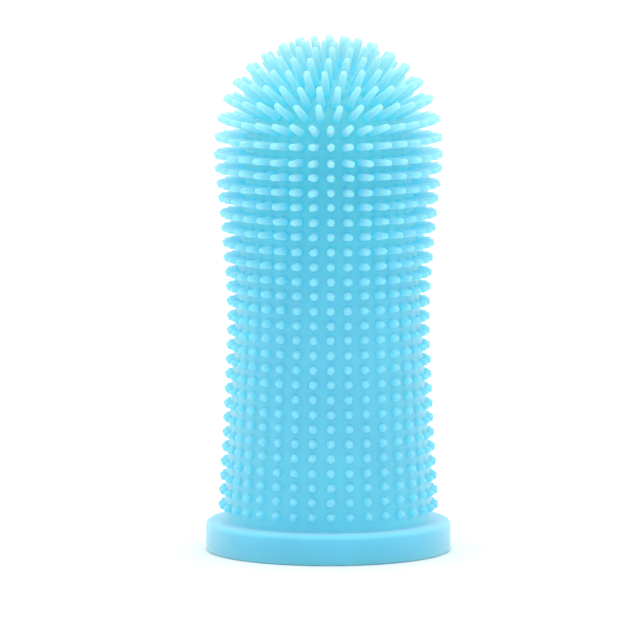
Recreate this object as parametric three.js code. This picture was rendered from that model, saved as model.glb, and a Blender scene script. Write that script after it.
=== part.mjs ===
// Finger toothbrush for pets: a thimble of soft silicone that is pushed over a fingertip, with a
// closed hemispherical end, a thick plain rim round its mouth, short nubs round the lower sleeve
// and blunt bristles over the upper sleeve and head. Millimetres, +Z up. The origin is the centre
// of the mouth on the underside of the rim, and +Z runs up the sleeve to the closed end.
//
// The moulding is split on level planes into the regions that behave differently: the stiff rim,
// the sleeve below the fingertip joint, the band that bends, the sleeve above it, and the head.
import * as THREE from "three";

// ---- driving dimensions ---------------------------------------------------------------------
const RIM_RADIUS = 14.5; // outside of the rim
const RIM_HEIGHT = 3.6;
const RIM_TOP_ROUND = 0.6; // rounding of the rim's top edge
const RIM_FOOT_ROUND = 0.35; // rounding of its bottom edge
const MOUTH_ROUND = 0.4; // rounding where the bore meets the underside

const WALL = 1.2; // thickness of the silicone wall
const SLEEVE_RADIUS_FOOT = 12.4; // outside of the wall where it leaves the rim
const DOME_RADIUS = 9.7; // outside of the dome, and of the wall at the dome's foot
const DOME_CENTRE = 47.7; // height of the dome's centre

const COLUMNS = 35; // bristles round each row of the sleeve
const COLUMN_TURN = 1.3; // degrees the columns stand round from the -Y direction towards +X
const FOOT_HALF = 0.45; // half the side of the square foot of a nub or bristle
const TIP_HALF = 0.31; // half the side of a blunt bristle's square tip

// Rows of the sleeve from the rim up: [height of the tips, radius of the tips from the axis].
const LOWER_ROWS = [
  [5.45, 13.07], [7.2, 13], [8.9, 12.9], [10.6, 12.8], [12.35, 12.68], [14.05, 12.58],
  [15.8, 12.48], [17.5, 12.4], [19.25, 12.33], [21.0, 12.26], [22.7, 12.18],
];
const FLEX_ROWS = [
  [24.45, 12.1], [26.2, 12.05], [27.9, 12.04], [29.65, 12.07], [31.4, 12.16], [33.1, 12.28],
  [34.85, 12.41],
];
const UPPER_ROWS = [
  [36.6, 12.56], [38.4, 12.73], [40.1, 12.9], [41.9, 13.05], [43.6, 13.25], [45.4, 13.48],
];
const HEAD_ROWS = [[47.1, 13.57]];

// Planes between the regions, about midway between two rows.
const FLEX_FOOT = 23.6;
const FLEX_TOP = 35.7;
const HEAD_FOOT = 46.25;

// Rings of bristles on the dome: [latitude in degrees, number of bristles, degrees that the
// first stands round from -Y towards +X, radius of the tips from the dome's centre].
const DOME_RINGS = [
  [5.9, 35, 1.3, 13.56],
  [15.5, 35, 1.3, 13.67],
  [25.9, 30, 6.0, 13.76],
  [35.8, 30, 6.0, 13.79],
  [45.6, 26, -2.6, 13.78],
  [55.2, 22, 0.0, 13.7],
  [65.2, 16, 5.0, 13.6],
  [73.8, 11, 12.0, 13.55],
  [81.5, 6, 0.0, 13.48],
];
const APEX_TIP = 13.44; // tip of the one bristle on the axis, from the dome's centre

// Fineness of the curved surfaces.
const HOLLOW_LATITUDES = [0, 18, 36, 52, 66, 79]; // degrees, circles of the hollow under the dome
const RIM_LOWER_STEPS = 3; // steps in each rounding of the rim's underside
const RIM_TOP_STEPS = 4; // steps in the rounding of its top edge

// ---- the tapered wall -----------------------------------------------------------------------
const RAD = Math.PI / 180;
const FULL_TURN = 2 * Math.PI;

const outerRadius = (z) =>
  SLEEVE_RADIUS_FOOT +
  ((DOME_RADIUS - SLEEVE_RADIUS_FOOT) * (z - RIM_HEIGHT)) / (DOME_CENTRE - RIM_HEIGHT);
const boreRadius = (z) => outerRadius(z) - WALL;
const TAPER = Math.atan((SLEEVE_RADIUS_FOOT - DOME_RADIUS) / (DOME_CENTRE - RIM_HEIGHT));

// Height of a bristle's foot. It stands square to the tapered wall, so its tip is a little higher.
const footHeight = (tipHeight, tipRadius) =>
  tipHeight - (tipRadius - outerRadius(tipHeight)) * Math.sin(TAPER) * Math.cos(TAPER);

// ---- surfaces -------------------------------------------------------------------------------
// Evenly spaced angles, the first standing round from -Y by the given degrees.
function columnAngles(count, turn) {
  return Array.from(
    { length: count },
    (_, i) => -Math.PI / 2 + turn * RAD + (i * 2 * Math.PI) / count,
  );
}

// The two edges of every bristle's foot round a circle of the given radius, as angles.
function footAngles(count, turn, radius) {
  const half = Math.asin(FOOT_HALF / radius);
  return columnAngles(count, turn).flatMap((angle) => [angle - half, angle + half]);
}

// A surface made triangle by triangle, with its front faces out. Corners are given
// anticlockwise as seen from the front.
class Skin {
  points = [];
  faces = [];

  point(x, y, z) {
    this.points.push(x, y, z);
    return this.points.length / 3 - 1;
  }

  tri(a, b, c) {
    this.faces.push(a, b, c);
  }

  quad(a, b, c, d) {
    this.faces.push(a, b, c, a, c, d);
  }

  // A level circle of points; each entry keeps its angle so that circles of different counts join.
  circle(radius, z, angles) {
    return angles.map((angle) => ({
      angle,
      index: this.point(radius * Math.cos(angle), radius * Math.sin(angle), z),
    }));
  }

  // Joins two circles into a strip that faces out, or towards the axis if inward is true.
  zip(lower, upper, inward = false) {
    // Start from the upper point nearest in angle to the first lower one.
    const offset = (point) => {
      const difference = point.angle - lower[0].angle;
      return difference - FULL_TURN * Math.round(difference / FULL_TURN);
    };
    let first = 0;
    upper.forEach((point, k) => {
      if (Math.abs(offset(point)) < Math.abs(offset(upper[first]))) first = k;
    });
    const start = lower[0].angle + offset(upper[first]);

    // Angles that go on rising past a full turn.
    const unrolled = (circle, k) =>
      circle[k % circle.length].angle + FULL_TURN * Math.floor(k / circle.length);
    const lowerAngle = (k) => unrolled(lower, k);
    const upperAngle = (k) => unrolled(upper, first + k) - upper[first].angle + start;

    const lowerIndex = (k) => lower[k % lower.length].index;
    const upperIndex = (k) => upper[(first + k) % upper.length].index;
    const face = (a, b, c) => (inward ? this.tri(a, c, b) : this.tri(a, b, c));

    // Step along whichever circle has the next edge whose middle comes first.
    let i = 0;
    let j = 0;
    while (i < lower.length || j < upper.length) {
      const stepLower =
        j >= upper.length ||
        (i < lower.length &&
          lowerAngle(i) + lowerAngle(i + 1) <= upperAngle(j) + upperAngle(j + 1));
      if (stepLower) {
        face(lowerIndex(i), lowerIndex(i + 1), upperIndex(j));
        i += 1;
      } else {
        face(lowerIndex(i), upperIndex(j + 1), upperIndex(j));
        j += 1;
      }
    }
  }

  geometry() {
    const geometry = new THREE.BufferGeometry();
    geometry.setAttribute("position", new THREE.Float32BufferAttribute(this.points, 3));
    geometry.setIndex(this.faces);
    geometry.computeVertexNormals();
    return geometry;
  }
}

// ---- bristles -------------------------------------------------------------------------------
// A nub is a pyramid on the four corners of its foot.
function addNub(skin, foot, tip) {
  const apex = skin.point(tip.x, tip.y, tip.z);
  foot.forEach((corner, k) => skin.tri(corner, foot[(k + 1) % 4], apex));
}

// A blunt bristle narrows to a square tip, which is tilted back by lean (radians).
function addBluntBristle(skin, foot, tip, angle, lean) {
  const side = new THREE.Vector3(-Math.sin(angle), Math.cos(angle), 0);
  const up = new THREE.Vector3(
    -Math.sin(lean) * Math.cos(angle),
    -Math.sin(lean) * Math.sin(angle),
    Math.cos(lean),
  );
  const end = [[-1, -1], [1, -1], [1, 1], [-1, 1]].map(([across, along]) => {
    const corner = tip
      .clone()
      .addScaledVector(side, across * TIP_HALF)
      .addScaledVector(up, along * TIP_HALF);
    return skin.point(corner.x, corner.y, corner.z);
  });
  foot.forEach((corner, k) => {
    const next = (k + 1) % 4;
    skin.quad(corner, foot[next], end[next], end[k]);
  });
  skin.quad(...end);
}

// Puts a ring of bristles on a strip whose lower and upper circles hold two points per bristle,
// 2i and 2i + 1. The tips are given by their radius from the axis and their height.
function bristleRing(skin, lower, upper, { count, turn, tipRadius, tipHeight, lean, pointed }) {
  columnAngles(count, turn).forEach((angle, i) => {
    const left = 2 * i;
    const right = left + 1;
    const next = (left + 2) % (2 * count);
    const foot = [lower[left], lower[right], upper[right], upper[left]].map((p) => p.index);
    // Plain wall to the next bristle.
    skin.quad(lower[right].index, lower[next].index, upper[next].index, upper[right].index);
    const tip = new THREE.Vector3(
      tipRadius * Math.cos(angle),
      tipRadius * Math.sin(angle),
      tipHeight,
    );
    if (pointed) addNub(skin, foot, tip);
    else addBluntBristle(skin, foot, tip, angle, lean);
  });
}

// ---- sleeve ---------------------------------------------------------------------------------
const sleeveCircle = (skin, z) =>
  skin.circle(outerRadius(z), z, footAngles(COLUMNS, COLUMN_TURN, outerRadius(z)));
const boreAngles = columnAngles(COLUMNS, COLUMN_TURN);
const boreCircle = (skin, z) => skin.circle(boreRadius(z), z, boreAngles);

// Outside of the sleeve from one circle up through rows of bristles; returns its last circle.
function sleeveRows(skin, from, rows, pointed) {
  let last = from;
  for (const [tipHeight, tipRadius] of rows) {
    const foot = footHeight(tipHeight, tipRadius);
    const lower = sleeveCircle(skin, foot - FOOT_HALF);
    const upper = sleeveCircle(skin, foot + FOOT_HALF);
    skin.zip(last, lower);
    bristleRing(skin, lower, upper, {
      count: COLUMNS,
      turn: COLUMN_TURN,
      tipRadius,
      tipHeight,
      lean: TAPER,
      pointed,
    });
    last = upper;
  }
  return last;
}

// A length of sleeve between two level planes: bristled outside, plain bore, flat ends.
function sleevePiece({ foot, top, rows, pointed }) {
  const skin = new Skin();
  const outerFoot = sleeveCircle(skin, foot);
  const outerTop = sleeveCircle(skin, top);
  const boreFoot = boreCircle(skin, foot);
  const boreTop = boreCircle(skin, top);
  skin.zip(sleeveRows(skin, outerFoot, rows, pointed), outerTop);
  skin.zip(outerTop, boreTop); // upper end
  skin.zip(boreFoot, boreTop, true); // bore
  skin.zip(boreFoot, outerFoot); // lower end
  return skin.geometry();
}

// ---- head -----------------------------------------------------------------------------------
// Level circle at a latitude (radians) of the dome's outside, with the feet of a ring on it.
function domeCircle(skin, latitude, count, turn) {
  const radius = DOME_RADIUS * Math.cos(latitude);
  const z = DOME_CENTRE + DOME_RADIUS * Math.sin(latitude);
  return skin.circle(radius, z, footAngles(count, turn, radius));
}

// Outside of the dome from one circle up through its rings; returns its last circle.
function domeRings(skin, from) {
  const footHalfAngle = FOOT_HALF / DOME_RADIUS;
  let last = from;
  for (const [degrees, count, turn, reach] of DOME_RINGS) {
    const latitude = degrees * RAD;
    const lower = domeCircle(skin, latitude - footHalfAngle, count, turn);
    const upper = domeCircle(skin, latitude + footHalfAngle, count, turn);
    skin.zip(last, lower);
    bristleRing(skin, lower, upper, {
      count,
      turn,
      tipRadius: reach * Math.cos(latitude),
      tipHeight: DOME_CENTRE + reach * Math.sin(latitude),
      lean: latitude,
      pointed: false,
    });
    last = upper;
  }
  return last;
}

// Closes the top of the dome with one bristle on the axis.
function apexBristle(skin, from) {
  const cornerAngles = [-3, -1, 1, 3].map((k) => (k * Math.PI) / 4);
  const square = (half, z) => skin.circle(half * Math.SQRT2, z, cornerAngles);
  const footZ = DOME_CENTRE + Math.sqrt(DOME_RADIUS ** 2 - 2 * FOOT_HALF ** 2);
  const foot = square(FOOT_HALF, footZ);
  const tip = square(TIP_HALF, DOME_CENTRE + APEX_TIP);
  skin.zip(from, foot);
  skin.zip(foot, tip);
  skin.quad(...tip.map((p) => p.index));
}

// Hollow under the dome, from the circle of the bore up to the axis.
function domeHollow(skin, from) {
  const radius = DOME_RADIUS - WALL;
  let last = from;
  for (const degrees of HOLLOW_LATITUDES) {
    const latitude = degrees * RAD;
    const z = DOME_CENTRE + radius * Math.sin(latitude);
    const ring = skin.circle(radius * Math.cos(latitude), z, boreAngles);
    skin.zip(last, ring, true);
    last = ring;
  }
  const crown = skin.point(0, 0, DOME_CENTRE + radius);
  last.forEach((p, i) => skin.tri(p.index, crown, last[(i + 1) % last.length].index));
}

function headPiece() {
  const skin = new Skin();
  const outerFoot = sleeveCircle(skin, HEAD_FOOT);
  const boreFoot = boreCircle(skin, HEAD_FOOT);
  const domeFoot = sleeveRows(skin, outerFoot, HEAD_ROWS, false);
  apexBristle(skin, domeRings(skin, domeFoot));
  domeHollow(skin, boreFoot);
  skin.zip(boreFoot, outerFoot); // lower end
  return skin.geometry();
}

// ---- rim ------------------------------------------------------------------------------------
// A thick ring with a vertical side, rounded edges and a flat underside.
function rimPiece() {
  // Points [radius, z] of a quarter circle, anticlockwise from an angle in degrees.
  const rounding = (centreRadius, centreZ, round, from, steps) =>
    Array.from({ length: steps + 1 }, (_, k) => {
      const angle = (from + (90 * k) / steps) * RAD;
      return [centreRadius + round * Math.cos(angle), centreZ + round * Math.sin(angle)];
    });
  const footCentre = RIM_RADIUS - RIM_FOOT_ROUND;
  const topCentre = RIM_RADIUS - RIM_TOP_ROUND;
  const profile = [
    ...rounding(boreRadius(0) + MOUTH_ROUND, MOUTH_ROUND, MOUTH_ROUND, 180, RIM_LOWER_STEPS),
    ...rounding(footCentre, RIM_FOOT_ROUND, RIM_FOOT_ROUND, 270, RIM_LOWER_STEPS),
    ...rounding(topCentre, RIM_HEIGHT - RIM_TOP_ROUND, RIM_TOP_ROUND, 0, RIM_TOP_STEPS),
    [boreRadius(RIM_HEIGHT), RIM_HEIGHT],
  ];
  const skin = new Skin();
  const angles = columnAngles(2 * COLUMNS, COLUMN_TURN);
  const circles = profile.map(([radius, z]) => skin.circle(radius, z, angles));
  circles.forEach((circle, i) => skin.zip(circle, circles[(i + 1) % circles.length]));
  return skin.geometry();
}

// ---- the brush ------------------------------------------------------------------------------
const RIM_BLUE = 0x74cdec;
const SLEEVE_BLUE = 0x62c9ea;
const HEAD_BLUE = 0x7fdcf7;

const silicone = (color) =>
  new THREE.MeshStandardMaterial({ color, roughness: 0.5, metalness: 0, flatShading: true });

const lowerSleeve = { foot: RIM_HEIGHT, top: FLEX_FOOT, rows: LOWER_ROWS, pointed: true };
const flexBand = { foot: FLEX_FOOT, top: FLEX_TOP, rows: FLEX_ROWS, pointed: true };
const upperSleeve = { foot: FLEX_TOP, top: HEAD_FOOT, rows: UPPER_ROWS, pointed: false };

const brush = new THREE.Group();

function add(name, geometry, color) {
  const mesh = new THREE.Mesh(geometry, silicone(color));
  mesh.name = name;
  brush.add(mesh);
}

add("rim_flange", rimPiece(), RIM_BLUE);
add("lower_sleeve", sleevePiece(lowerSleeve), SLEEVE_BLUE);
add("flex_band", sleevePiece(flexBand), SLEEVE_BLUE);
add("upper_sleeve", sleevePiece(upperSleeve), SLEEVE_BLUE);
add("bristle_head", headPiece(), HEAD_BLUE);

export default brush;
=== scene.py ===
# A silicone finger brush: a flat rim, a tapered sleeve and a domed head, covered in bristles.
# It stands on its rim at z = 0 with its axis on Z, and the camera looks at it from -Y.
# Shapes are in millimetres until they become a mesh; everything else is in metres.
import math

import bpy
import numpy as np
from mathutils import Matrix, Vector


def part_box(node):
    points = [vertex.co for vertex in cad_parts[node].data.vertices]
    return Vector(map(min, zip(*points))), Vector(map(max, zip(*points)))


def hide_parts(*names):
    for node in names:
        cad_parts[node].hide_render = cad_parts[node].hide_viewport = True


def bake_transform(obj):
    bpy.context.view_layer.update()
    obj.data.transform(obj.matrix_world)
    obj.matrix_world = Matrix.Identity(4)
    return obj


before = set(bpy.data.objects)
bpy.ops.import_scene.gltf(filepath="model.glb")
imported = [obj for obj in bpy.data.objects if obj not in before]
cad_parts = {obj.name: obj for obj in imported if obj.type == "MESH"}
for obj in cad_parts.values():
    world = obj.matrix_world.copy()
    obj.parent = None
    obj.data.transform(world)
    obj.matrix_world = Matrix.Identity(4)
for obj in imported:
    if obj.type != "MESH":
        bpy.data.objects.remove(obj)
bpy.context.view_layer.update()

MM = 0.001

# ---------------------------------------------------------------- sizes
RIM_RADIUS = 14.5
RIM_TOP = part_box("rim_flange")[1][2] / MM       # level the sleeve stands on
TOP_ROUND = 0.6                                 # rounding of the rim's top edge
FOOT_ROUND = 0.32                               # rounding of its bottom edge
MOUTH_ROUND = 0.4                               # rounding of the bore's mouth
SLEEVE_FILLET = 0.5                             # between the rim's ledge and the sleeve
FILLET_COLLAR = 4.32                            # height of the plain ring above that fillet

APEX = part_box("bristle_head")[1][2] / MM        # highest tip
APEX_REACH = 13.44                              # from the dome's centre to that tip
DOME_Z = APEX - APEX_REACH                      # centre of the dome
DOME_R = 9.7                                    # outside of the wall at the dome
FOOT_R = 12.4                                   # outside of the wall where it leaves the rim
WALL = 1.2
TAPER = math.atan((FOOT_R - DOME_R) / (DOME_Z - RIM_TOP))   # lean of the wall towards the axis
WALL_END = DOME_Z + DOME_R * math.pi / 2        # length of the wall from the floor to the apex

COLUMNS = 35
TURN = 1.3                  # degrees the columns stand round from -Y towards +X

# Level rows: height of the tips, radius that they reach.
ROWS = [
    (5.45, 13.07), (7.2, 13), (8.9, 12.9), (10.6, 12.8), (12.35, 12.68), (14.05, 12.58),
    (15.8, 12.48), (17.5, 12.4), (19.25, 12.33), (21, 12.26), (22.7, 12.18), (24.45, 12.1),
    (26.2, 12.05), (27.9, 12.04), (29.65, 12.07), (31.4, 12.16), (33.1, 12.28), (34.85, 12.41),
    (36.6, 12.56), (38.4, 12.73), (40.1, 12.9), (41.9, 13.05), (43.6, 13.25), (45.4, 13.48),
    (47.1, 13.57),
]
FREE = math.inf             # a root that may spread as far as it likes
CROWDED = 0.6               # most that a root may spread near the apex
# Bands of rings on the dome: bristles in a ring, degrees the first stands round from -Y,
# limit to the roots, and for each ring its latitude and the reach of its tips.
DOME_BANDS = [
    (COLUMNS, TURN, FREE, [(5.9, 13.56), (15.5, 13.67)]),
    (30, 6.0, FREE, [(25.9, 13.76), (35.8, 13.79)]),
    (26, -2.6, FREE, [(45.6, 13.78)]),
    (22, 0.0, FREE, [(55.2, 13.7)]),
    (16, 5.0, FREE, [(65.2, 13.6)]),
    (11, 12.0, CROWDED, [(73.8, 13.55)]),
    (6, 0.0, CROWDED, [(81.5, 13.48)]),
]
FIRST_MARGIN = 0.87         # wall below the lowest row of roots, within its cells
BAND_GAP = 0.03             # from the border of a band to halfway to the next
APEX_CELL = 0.67            # radius of the apex bristle's cell, along the wall

BORE_LEVELS = [1.5, 3.0, 4.5] + [6.8 + 3.15 * k for k in range(13)]
HOLLOW_LATITUDES = (0, 9, 18, 27, 36, 45, 54, 62, 70, 77, 83, 87.5)

AROUND = 12                 # points round a bristle
SIDE = AROUND // 4          # points along one side of its cell
BRISTLE_ANGLES = [math.radians(-135 + 360 / AROUND * k) for k in range(AROUND)]
# The points of a cell's border, in steps of its lattice, in turn from its lower left.
CELL_BORDER = ([(i, 0) for i in range(SIDE)] + [(SIDE, i) for i in range(SIDE)]
               + [(SIDE - i, SIDE) for i in range(SIDE)] + [(0, SIDE - i) for i in range(SIDE)])

TIP_DRIFT = 0.012           # spread of a tip's sideways drift, as a share of the length
DRIFT_FROM = 1.4            # shorter bristles stand straight
LENGTH_SPREAD = 0.006       # spread of the lengths, as a share
rng = np.random.default_rng(7)


# ---------------------------------------------------------------- the wall
def wall_at(along, inset=0.0):
    """Radius and height of the wall's outside at along, the height up to the dome and the arc
    length from there on. inset moves inwards through the wall."""
    if along <= DOME_Z:
        radius = FOOT_R + (DOME_R - FOOT_R) * (along - RIM_TOP) / (DOME_Z - RIM_TOP)
        return radius - inset, along
    latitude = (along - DOME_Z) / DOME_R
    radius = DOME_R - inset
    return radius * math.cos(latitude), DOME_Z + radius * math.sin(latitude)


def along_at(latitude):
    return DOME_Z + DOME_R * math.radians(latitude)


def root_height(z, reach):
    """Height of the root on the tapered wall of a bristle whose tip is at radius reach, height z.
    The bristle stands square to the wall, so it points a little up."""
    return z - (reach - wall_at(z)[0]) * math.sin(TAPER) * math.cos(TAPER)


def column_angle(i, count, turn):
    return -math.pi / 2 + math.radians(turn) + i * 2 * math.pi / count


def middle(a, b):
    return (a + b) / 2


# ---------------------------------------------------------------- the skin
class Skin:
    """A closed surface gathered point by point. Each point keeps how far up its bristle it
    stands, from 0 on the wall to 1 at the tip, and how far up the bristle's rounded end."""

    def __init__(self):
        self.points, self.up, self.cap, self.faces = [], [], [], []

    def add(self, point, up=0.0, cap=0.0):
        self.points.append(tuple(float(x) for x in point))
        self.up.append(float(up))
        self.cap.append(float(cap))
        return len(self.points) - 1

    def level_ring(self, radius, z):
        """Ring round the axis with a point for each lattice step of the columns."""
        count = COLUMNS * SIDE
        start = column_angle(0, COLUMNS, TURN) - math.pi / COLUMNS
        angles = [start + 2 * math.pi * i / count for i in range(count)]
        return [self.add((radius * math.cos(a), radius * math.sin(a), z)) for a in angles]

    def strip(self, lower, upper, flip=False):
        """Quads between two rings of the same count, facing out, or in if flipped."""
        for i in range(len(lower)):
            j = (i + 1) % len(lower)
            quad = (lower[i], lower[j], upper[j], upper[i])
            self.faces.append(quad[::-1] if flip else quad)

    def zip(self, lower, upper):
        """Triangles between two rings of different counts; each entry is (angle, point)."""
        full = 2 * math.pi
        n_low, n_up = len(lower), len(upper)

        def wrap(angle):
            return angle - full * round(angle / full)

        first = min(range(n_up), key=lambda k: abs(wrap(upper[k][0] - lower[0][0])))
        start = lower[0][0] + wrap(upper[first][0] - lower[0][0])

        def low_angle(k):
            return lower[k % n_low][0] + full * (k // n_low)

        def up_angle(k):
            turns, place = divmod(first + k, n_up)
            return upper[place][0] + full * turns - upper[first][0] + start

        i = j = 0
        while i < n_low or j < n_up:
            low, up = lower[i % n_low][1], upper[(first + j) % n_up][1]
            if j >= n_up or (i < n_low and low_angle(i) + low_angle(i + 1)
                             <= up_angle(j) + up_angle(j + 1)):
                self.faces.append((low, lower[(i + 1) % n_low][1], up))
                i += 1
            else:
                self.faces.append((low, upper[(first + j + 1) % n_up][1], up))
                j += 1

    def build(self, name):
        mesh = bpy.data.meshes.new(name)
        mesh.from_pydata([(x * MM, y * MM, z * MM) for x, y, z in self.points], [], self.faces)
        mesh.validate()
        mesh.update()
        x, y, z = np.array(self.points).T
        on_dome = DOME_Z + DOME_R * np.arctan2(z - DOME_Z, np.hypot(x, y))
        along = np.where(z > DOME_Z, on_dome, z) / WALL_END
        for label, values in (("bristle", self.up), ("cap", self.cap), ("along", along)):
            attribute = mesh.attributes.new(label, "FLOAT", "POINT")
            attribute.data.foreach_set("value", np.array(values).astype(np.float32))
        mesh.polygons.foreach_set("use_smooth", [True] * len(mesh.polygons))
        return link_object(name, mesh)


def link_object(name, data):
    thing = bpy.data.objects.new(name, data)
    bpy.context.scene.collection.objects.link(thing)
    return thing


# ---------------------------------------------------------------- bristles
def bristle_profile(length, root_limit):
    """Rings of a bristle as (radius, height), then the fillet at its root, the height of its
    straight part and that of its rounded tip."""
    long = min(max((length - 0.7) / 2.3, 0.0), 1.0)     # 0 for the shortest, 1 from 3 mm up
    fillet = min(0.14, 0.2 * length)
    root = min(0.49 + 0.01 * long, root_limit - fillet)
    neck = 0.375 - 0.01 * long                          # radius just under the rounded tip
    crown = min(0.30, 0.42 * length)
    body = length - crown
    rings = [(root + fillet, 0.0), (root + 0.29 * fillet, 0.29 * fillet), (root, fillet)]
    steps = 2 if length > 2.0 else 1
    for k in range(1, steps + 1):
        share = k / steps
        rings.append((root + (neck - root) * share, fillet + (body - fillet) * share))
    for degrees in (32, 62):
        a = math.radians(degrees)
        rings.append((neck * math.cos(a), body + crown * math.sin(a)))
    return rings, fillet, body, crown


def add_bristle(skin, cell, base, axes, length, wall_radius, on_dome, root_limit):
    """One bristle on the ring of wall points round its cell. axes are the directions out along
    the bristle, round the object and up the wall; its foot follows the wall's curve."""
    out, around, upward = axes
    rings, fillet, body, crown = bristle_profile(length, root_limit)
    drift = (0.0, 0.0)
    if length > DRIFT_FROM:
        drift = rng.normal(0.0, TIP_DRIFT * length, 2)
    scale = 1.0 + float(rng.normal(0.0, LENGTH_SPREAD))
    below = cell
    for radius, height in rings:
        h = height * scale
        bend = (h / length) ** 2
        settle = max(0.0, 1.0 - h / (fillet * 1.5 + 1e-9))      # share of the curve followed
        ring = []
        for a in BRISTLE_ANGLES:
            u, v = radius * math.cos(a), radius * math.sin(a)
            sag = (u * u + (v * v if on_dome else 0.0)) / (2 * wall_radius)
            point = (base + around * (u + drift[0] * bend) + upward * (v + drift[1] * bend)
                     + out * (h - sag * settle))
            ring.append(skin.add(point, h / length, max(0.0, (h / scale - body) / crown)))
        skin.strip(below, ring)
        below = ring
    tip = skin.add(base + around * drift[0] + upward * drift[1] + out * length * scale, 1.0, 1.0)
    for i in range(AROUND):
        skin.faces.append((below[i], below[(i + 1) % AROUND], tip))


def add_wall_bristle(skin, cell, along, reach, angle, root_limit):
    """A bristle square to the wall, on the sleeve or on the dome."""
    on_dome = along > DOME_Z
    lean = (along - DOME_Z) / DOME_R if on_dome else TAPER
    cos_a, sin_a = math.cos(angle), math.sin(angle)
    cos_l, sin_l = math.cos(lean), math.sin(lean)
    out = np.array([cos_l * cos_a, cos_l * sin_a, sin_l])
    around = np.array([-sin_a, cos_a, 0.0])
    upward = np.array([-sin_l * cos_a, -sin_l * sin_a, cos_l])
    if on_dome:
        radius, length = DOME_R, reach - DOME_R
        base = np.array([0, 0, DOME_Z]) + DOME_R * out
    else:
        radius, z = wall_at(along)
        length = (reach - radius) / cos_l
        base = np.array([radius * cos_a, radius * sin_a, z])
    add_bristle(skin, cell, base, (out, around, upward), length, radius, on_dome, root_limit)


def add_band(skin, rows, bottom, top, count, turn, root_limit):
    """Rows of bristles, each (along, reach), on one lattice of wall points from bottom to top.
    Returns the lower and the upper border as rings of (angle, point)."""
    places = [along for along, _ in rows]
    edges = [bottom] + [middle(a, b) for a, b in zip(places, places[1:])] + [top]
    ring_points = count * SIDE
    step = 2 * math.pi / count
    start = column_angle(0, count, turn) - 0.5 * step
    known = {}

    def angle_at(u):
        return start + u * step / SIDE

    def point_at(u, v):
        u %= ring_points
        if (u, v) not in known:
            k = min(v // SIDE, len(rows) - 1)
            along = edges[k] + (edges[k + 1] - edges[k]) * (v - k * SIDE) / SIDE
            radius, z = wall_at(along)
            a = angle_at(u)
            known[u, v] = skin.add((radius * math.cos(a), radius * math.sin(a), z))
        return known[u, v]

    for k, (along, reach) in enumerate(rows):
        for i in range(count):
            cell = [point_at(i * SIDE + du, k * SIDE + dv) for du, dv in CELL_BORDER]
            add_wall_bristle(skin, cell, along, reach, column_angle(i, count, turn), root_limit)

    return [[(angle_at(u), point_at(u, v)) for u in range(ring_points)]
            for v in (0, len(rows) * SIDE)]


# ---------------------------------------------------------------- the moulding
def points_of(ring):
    return [point for _, point in ring]


def rim_profile():
    """Half section of the rim from the bore round its mouth, across the flat underside, up the
    side, over the rounded top edge, in along the ledge and up the small fillet of the sleeve."""
    def arc(x, z, radius, first, last, steps):
        angles = [math.radians(first + (last - first) * k / steps) for k in range(steps + 1)]
        return [(x + radius * math.cos(a), z + radius * math.sin(a)) for a in angles]

    mouth = wall_at(0.0, WALL)[0]
    profile = arc(mouth + MOUTH_ROUND, MOUTH_ROUND, MOUTH_ROUND, 180, 270, 5)
    profile.append((middle(mouth, RIM_RADIUS), 0.0))
    profile += arc(RIM_RADIUS - FOOT_ROUND, FOOT_ROUND, FOOT_ROUND, 270, 360, 5)
    profile.append((RIM_RADIUS, middle(FOOT_ROUND, RIM_TOP - TOP_ROUND)))
    profile += arc(RIM_RADIUS - TOP_ROUND, RIM_TOP - TOP_ROUND, TOP_ROUND, 0, 90, 7)
    for degrees in (90, 65, 35, 0):
        a = math.radians(degrees)
        z = RIM_TOP + SLEEVE_FILLET * (1 - math.sin(a))
        profile.append((wall_at(z)[0] + SLEEVE_FILLET * (1 - math.cos(a)), z))
    profile.append((wall_at(FILLET_COLLAR)[0], FILLET_COLLAR))
    return profile


def add_rim(skin):
    """The rim; returns its innermost ring and the ring round the foot of the sleeve."""
    outline = [skin.level_ring(radius, z) for radius, z in rim_profile()]
    for lower, upper in zip(outline, outline[1:]):
        skin.strip(lower, upper)
    return outline[0], outline[-1]


def add_bristled_wall(skin, foot):
    """The outside of the sleeve and the dome, from the ring at the foot to the apex."""
    bands = [[(along_at(latitude), reach) for latitude, reach in rings]
             for _, _, _, rings in DOME_BANDS]
    # The level rows share the lattice of the dome's first band.
    bands[0] = [(root_height(z, reach), reach) for z, reach in ROWS] + bands[0]
    last = None
    for k, (rows, (count, turn, root_limit, _)) in enumerate(zip(bands, DOME_BANDS)):
        lowest, highest = rows[0][0], rows[-1][0]
        following = bands[k + 1][0][0] if k + 1 < len(bands) else WALL_END
        if k == 0:
            bottom = lowest - FIRST_MARGIN
        else:
            bottom = middle(bands[k - 1][-1][0], lowest) + BAND_GAP
        top = middle(highest, following) - BAND_GAP
        lower, upper = add_band(skin, rows, bottom, top, count, turn, root_limit)
        if k == 0:
            skin.strip(foot, points_of(lower))
        else:
            skin.zip(last, lower)
        last = upper

    # The bristle on the axis.
    radius, z = wall_at(WALL_END - APEX_CELL)
    cell = [(a, skin.add((radius * math.cos(a), radius * math.sin(a), z)))
            for a in BRISTLE_ANGLES]
    skin.zip(last, cell)
    around, upward, out = np.eye(3)
    add_bristle(skin, points_of(cell), np.array([0, 0, DOME_Z + DOME_R]), (out, around, upward),
                APEX_REACH - DOME_R, DOME_R, True, CROWDED)


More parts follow.
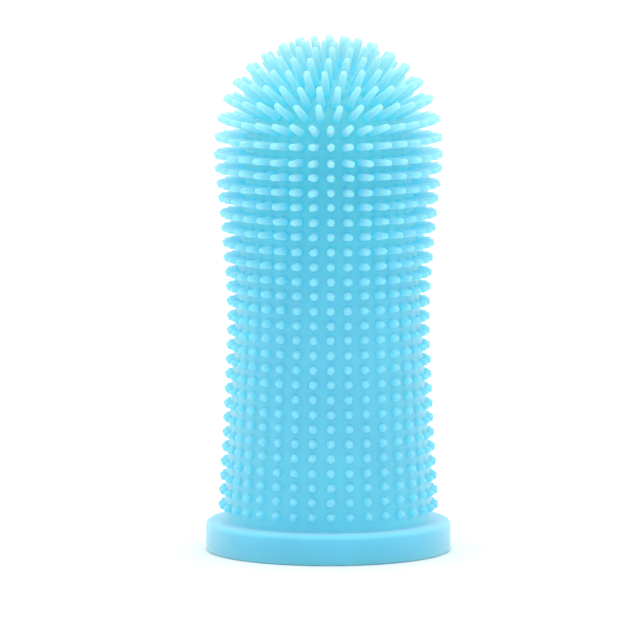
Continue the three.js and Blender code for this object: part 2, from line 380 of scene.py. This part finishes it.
def add_bore(skin, mouth):
    """The bore and the hollow under the dome, facing in."""
    inner = DOME_R - WALL
    section = [(wall_at(z, WALL)[0], z) for z in BORE_LEVELS]
    for latitude in map(math.radians, HOLLOW_LATITUDES):
        section.append((inner * math.cos(latitude), DOME_Z + inner * math.sin(latitude)))
    below = mouth
    for radius, z in section:
        ring = skin.level_ring(radius, z)
        skin.strip(below, ring, flip=True)
        below = ring
    top = skin.add((0, 0, DOME_Z + inner))
    for i in range(len(below)):
        skin.faces.append((below[i], top, below[(i + 1) % len(below)]))


def build_brush():
    """The whole moulding as one closed skin."""
    skin = Skin()
    mouth, foot = add_rim(skin)
    add_bristled_wall(skin, foot)
    add_bore(skin, mouth)
    return skin.build("brush_skin")


# ---------------------------------------------------------------- silicone
# Linear colours at heights along the wall, in millimetres: of the wall, of the bristles' sides
# and of their rounded ends. All three hold painted light as well as the silicone's own colour.
# Painted highlight at 3.55 mm on the rim's rounded top edge; from 38 mm up the wall is painted
# paler, painted light in place of light passing through the silicone among the long bristles and
# falling on the dome.
WALL_COLOURS = [
    (3.0, (0.120, 0.57, 0.76)), (3.55, (0.175, 0.63, 0.84)), (3.9, (0.118, 0.67, 0.91)),
    (6.0, (0.117, 0.64, 0.87)), (15.0, (0.123, 0.63, 0.86)), (30.0, (0.126, 0.655, 0.90)),
    (38.0, (0.138, 0.73, 0.98)), (46.0, (0.150, 0.78, 1.0)), (53.0, (0.185, 0.79, 0.99)),
    (WALL_END, (0.25, 0.77, 0.94)),
]
# Painted light: the bristles' sides are painted paler and greyer than the wall, more so towards the
# head, in place of light passing through them from the sides and behind.
SIDE_COLOURS = [
    (3.6, (0.165, 0.61, 0.82)), (28.0, (0.185, 0.63, 0.82)), (38.0, (0.26, 0.67, 0.83)),
    (46.0, (0.30, 0.71, 0.85)), (53.0, (0.30, 0.71, 0.81)), (WALL_END, (0.37, 0.72, 0.78)),
]
# Painted highlight: the rounded ends are painted lighter than the wall, in place of the light that
# falls on the tips and not down between them.
TIP_COLOURS = [
    (3.6, (0.155, 0.535, 0.92)), (28.0, (0.160, 0.55, 0.92)), (38.0, (0.165, 0.59, 0.93)),
    (46.0, (0.195, 0.63, 0.94)), (53.0, (0.25, 0.65, 0.88)), (WALL_END, (0.31, 0.67, 0.83)),
]
# Colour of the painted light on the outlines of the long bristles.
PAINTED_EDGE_LIGHT_COLOUR = (0.58, 0.81, 0.88, 1)
SIDE_FULL = 0.5      # share of a bristle's length, from its root, over which the wall's colour ends
SCATTER = 0.0018


class Shader:
    """Makes the nodes of one material; each method returns an output socket."""

    def __init__(self, tree):
        self.tree = tree
        self.place = self.node("ShaderNodeTexCoord").outputs["Object"]

    def node(self, kind, inputs=None, **settings):
        """A node with its settings, and inputs that are either sockets to link or values."""
        node = self.tree.nodes.new(kind)
        for name, value in settings.items():
            setattr(node, name, value)
        for name, value in (inputs or {}).items():
            if isinstance(value, bpy.types.NodeSocket):
                self.tree.links.new(value, node.inputs[name])
            else:
                node.inputs[name].default_value = value
        return node

    def attribute(self, name):
        return self.node("ShaderNodeAttribute", attribute_name=name).outputs["Fac"]

    def ramp(self, source, stops):
        node = self.node("ShaderNodeValToRGB", {"Fac": source})
        elements = node.color_ramp.elements
        while len(elements) < len(stops):
            elements.new(0.5)
        for element, (height, _) in zip(elements, stops):
            element.position = height / WALL_END
        for element, (_, colour) in zip(elements, stops):
            element.color = (*colour, 1)
        return node.outputs["Color"]

    def remap(self, source, span, result=(0.0, 1.0), curve="SMOOTHSTEP"):
        """Maps the span of the source onto the result."""
        return self.node("ShaderNodeMapRange", {
            "Value": source, "From Min": span[0], "From Max": span[1],
            "To Min": result[0], "To Max": result[1]}, interpolation_type=curve).outputs["Result"]

    def product(self, a, b):
        return self.node("ShaderNodeMath", {0: a, 1: b}, operation="MULTIPLY").outputs[0]

    def blend(self, a, b, share):
        return self.node("ShaderNodeMix", {"A": a, "B": b, "Factor": share},
                         data_type="RGBA").outputs["Result"]

    def noise(self, scale, detail=2.0):
        return self.node("ShaderNodeTexNoise", {
            "Vector": self.place, "Scale": scale, "Detail": detail}).outputs["Fac"]

    def noise_between(self, result, scale, detail):
        return self.remap(self.noise(scale, detail), (0.3, 0.7), result, "LINEAR")

    def bump(self, inputs):
        return self.node("ShaderNodeBump", inputs).outputs[0]


def along_span(low, high):
    """Heights along the wall, in millimetres, as the along attribute holds them."""
    return low / WALL_END, high / WALL_END


def silicone_colour(shader, along, up):
    # The silicone's own colour with painted light in it, mixed from the wall, side and end tables
    # and the painted edge light.
    side = shader.blend(shader.ramp(along, WALL_COLOURS), shader.ramp(along, SIDE_COLOURS),
                        shader.remap(up, (0.0, SIDE_FULL)))
    pigment_and_painted_light = shader.blend(side, shader.ramp(along, TIP_COLOURS),
                           shader.remap(shader.attribute("cap"), (0.0, 0.75)))

    # Painted light: the outline of a long bristle, seen at a slant, is painted paler, in place of
    # light shining through the little silicone at its edges. It shows on the long ones.
    facing = shader.node("ShaderNodeLayerWeight", {"Blend": 0.5}).outputs["Facing"]
    long_ones = shader.product(shader.remap(up, (0.0, 0.35)),
                               shader.remap(along, along_span(24, 42), (0.0, 0.5)))
    painted_edge_light_mask = shader.product(shader.remap(facing, (0.3, 1.0)), long_ones)
    pale = shader.node("ShaderNodeRGB").outputs[0]
    pale.default_value = PAINTED_EDGE_LIGHT_COLOUR
    pigment_and_painted_light = shader.blend(pigment_and_painted_light, pale, painted_edge_light_mask)

    # Slight clouding of the pigment.
    clouding = shader.noise_between((0.965, 1.035), scale=140.0, detail=3.0)
    return shader.node("ShaderNodeVectorMath", {0: pigment_and_painted_light, "Scale": clouding},
                       operation="SCALE").outputs[0]


def silicone_relief(shader):
    """Grain of the blasted mould, then slow unevenness of the moulded wall."""
    grain = shader.bump({"Strength": 0.25, "Distance": 0.00002, "Height": shader.noise(5200.0)})
    return shader.bump({"Strength": 0.35, "Distance": 0.00015, "Height": shader.noise(260.0),
                        "Normal": grain})


def silicone(name):
    """Soft satin silicone. Light enters and scatters a millimetre or two. Its colour is also
    painted paler on the bristles, and more so towards the dome, where they are long and crowded:
    painted light."""
    material = bpy.data.materials.new(name)
    material.use_nodes = True
    material.node_tree.nodes.clear()
    shader = Shader(material.node_tree)
    along, up = shader.attribute("along"), shader.attribute("bristle")
    # The dusty bloom is slightly less on the nubs than on the wall, and least in the head.
    bloom = shader.product(shader.remap(up, (0.0, 0.3), (0.6, 0.5)),
                           shader.remap(along, along_span(28, 42), (1.0, 0.25)))
    surface = shader.node("ShaderNodeBsdfPrincipled", {
        "Base Color": silicone_colour(shader, along, up),
        "IOR": 1.41,
        "Specular IOR Level": 0.7,
        # Satin, drier in places where it has been handled.
        "Roughness": shader.noise_between((0.40, 0.52), scale=420.0, detail=4.0),
        "Subsurface Weight": 1.0,
        "Subsurface Radius": (1.0, 1.2, 1.3),
        "Subsurface Scale": SCATTER,
        "Sheen Weight": bloom,
        "Sheen Roughness": 0.5,
        "Sheen Tint": (0.95, 0.98, 0.93, 1),
        "Normal": silicone_relief(shader),
    }, subsurface_method="RANDOM_WALK")
    shader.node("ShaderNodeOutputMaterial", {0: surface.outputs[0]})
    return material


brush = build_brush()
brush.data.materials.append(silicone("silicone"))
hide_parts("rim_flange", "lower_sleeve", "flex_band", "upper_sleeve", "bristle_head")
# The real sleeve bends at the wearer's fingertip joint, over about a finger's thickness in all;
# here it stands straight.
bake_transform(brush)


# ---------------------------------------------------------------- floor, light, camera
def build_floor(half=3.0):
    mesh = bpy.data.meshes.new("floor")
    corners = [(-half, -half, 0), (half, -half, 0), (half, half, 0), (-half, half, 0)]
    mesh.from_pydata(corners, [], [(0, 1, 2, 3)])
    floor = link_object("floor", mesh)
    material = bpy.data.materials.new("floor")
    material.use_nodes = True
    inputs = material.node_tree.nodes["Principled BSDF"].inputs
    inputs["Base Color"].default_value = (0.93, 0.93, 0.93, 1)
    inputs["Roughness"].default_value = 0.9
    inputs["Specular IOR Level"].default_value = 0.1
    mesh.materials.append(material)


def set_scene(scene):
    scene.view_settings.view_transform = "Standard"
    scene.view_settings.look = "None"
    # Enough bounces for the light between crowded bristles.
    scene.cycles.max_bounces = 24
    scene.cycles.diffuse_bounces = 16
    scene.world = bpy.data.worlds.new("studio")
    scene.world.use_nodes = True
    background = scene.world.node_tree.nodes["Background"].inputs
    background["Color"].default_value = (1, 1, 1, 1)
    background["Strength"].default_value = 1.0


def add_disk_light(name, place, target, size, power):
    light = bpy.data.lights.new(name, "AREA")
    light.shape = "DISK"
    light.size = size
    light.energy = power
    lamp = link_object(name, light)
    lamp.location = place
    lamp.rotation_euler = (Vector(target) - Vector(place)).to_track_quat("-Z", "Y").to_euler()


def add_camera(aim, distance, elevation, view_width):
    """Camera on the -Y side of aim, raised by elevation degrees; view_width is seen at aim."""
    lens = bpy.data.cameras.new("camera")
    lens.sensor_width = 36.0
    lens.lens = lens.sensor_width * distance / view_width
    lens.clip_start = 0.1
    lens.clip_end = 20
    camera = link_object("camera", lens)
    rise = math.radians(elevation)
    back = Vector((0, -math.cos(rise), math.sin(rise)))
    camera.location = Vector(aim) + back * distance
    camera.rotation_euler = (-back).to_track_quat("-Z", "Y").to_euler()
    bpy.context.scene.camera = camera


build_floor()
set_scene(bpy.context.scene)
add_disk_light("top", place=(0.0, 0.05, 0.8), target=(0, 0, 0.03), size=0.7, power=2.5)
add_camera(aim=(-0.00218, 0.0, 0.02852), distance=1.0, elevation=6.5, view_width=0.07329)
